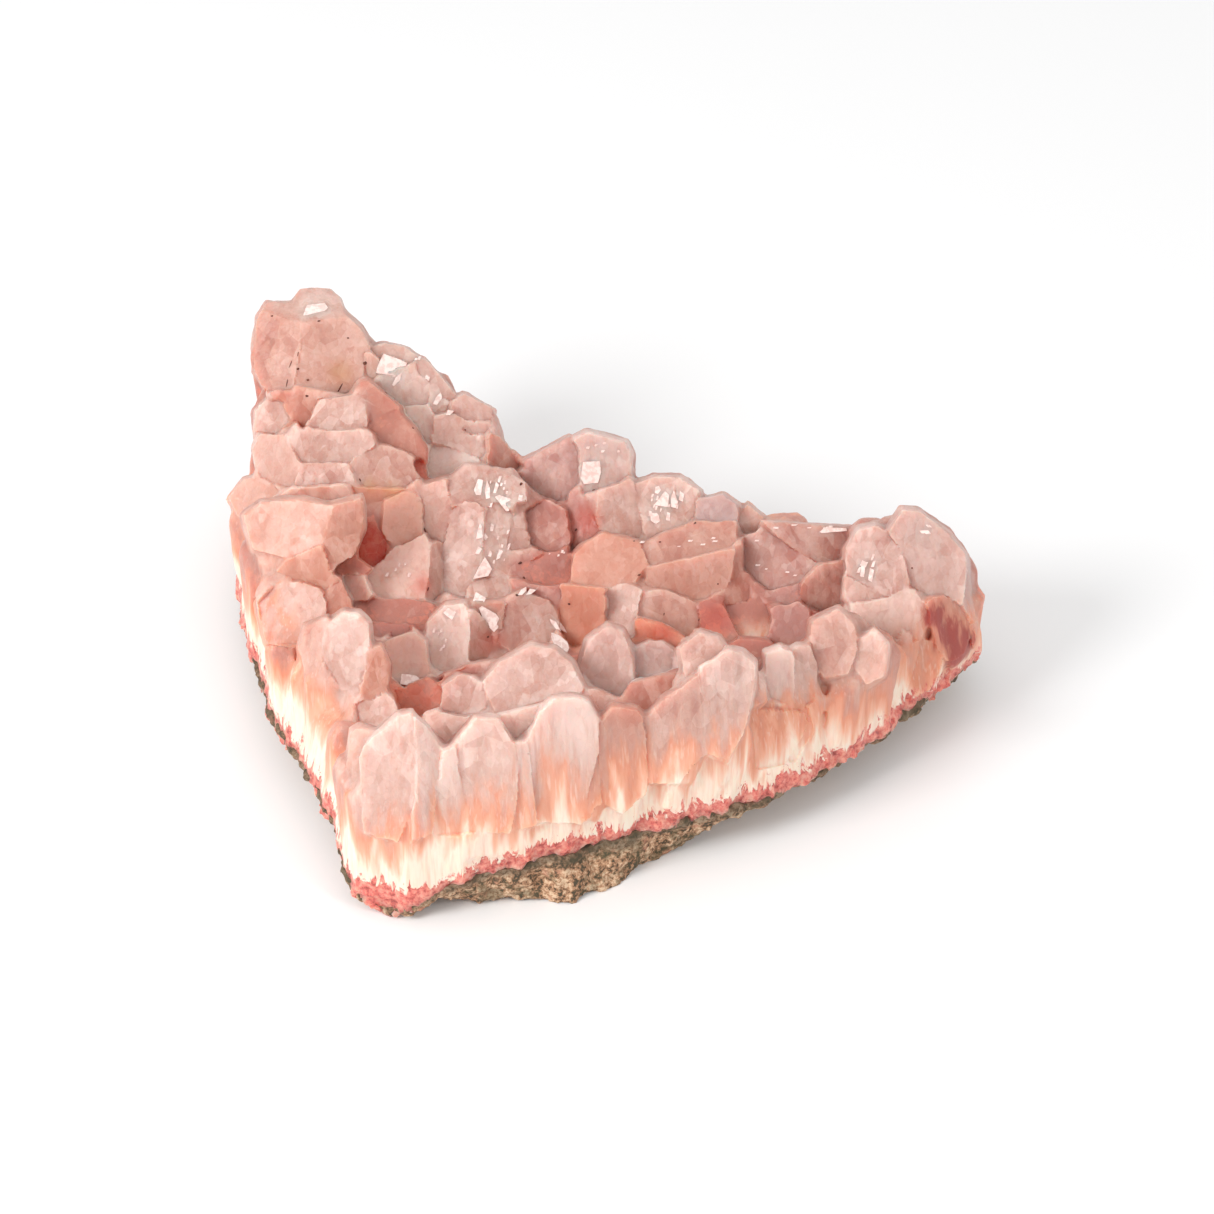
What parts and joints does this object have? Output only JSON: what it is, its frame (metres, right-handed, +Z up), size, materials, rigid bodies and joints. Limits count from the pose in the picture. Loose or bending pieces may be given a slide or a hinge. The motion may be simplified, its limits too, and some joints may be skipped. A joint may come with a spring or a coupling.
{
  "type": "heulandite cluster",
  "caption": "Natural cluster of intergrown pink heulandite crystals on a thin skin of basalt matrix, broken out as a heart-shaped slab that lies flat.",
  "frame": {"origin": "middle of the specimen's footprint, on the surface that it lies on", "axes": "+Z up out of the crystals; -Y towards the long broken front wall; +X along the longest extent, towards the narrow right-hand tip; the tallest crystals stand at -X, +Y"},
  "size_m": [0.1074, 0.0974, 0.04],
  "materials": {
    "heulandite": "vitreous translucent crystal faces, milky to clear pink, fibrous cream roots over a crimson seam",
    "basalt": "matt, rough, granular broken rock"
  },
  "bodies": {
    "root": {"heulandite_crust": "heulandite", "basalt_matrix": "basalt"}
  },
  "joints": []
}
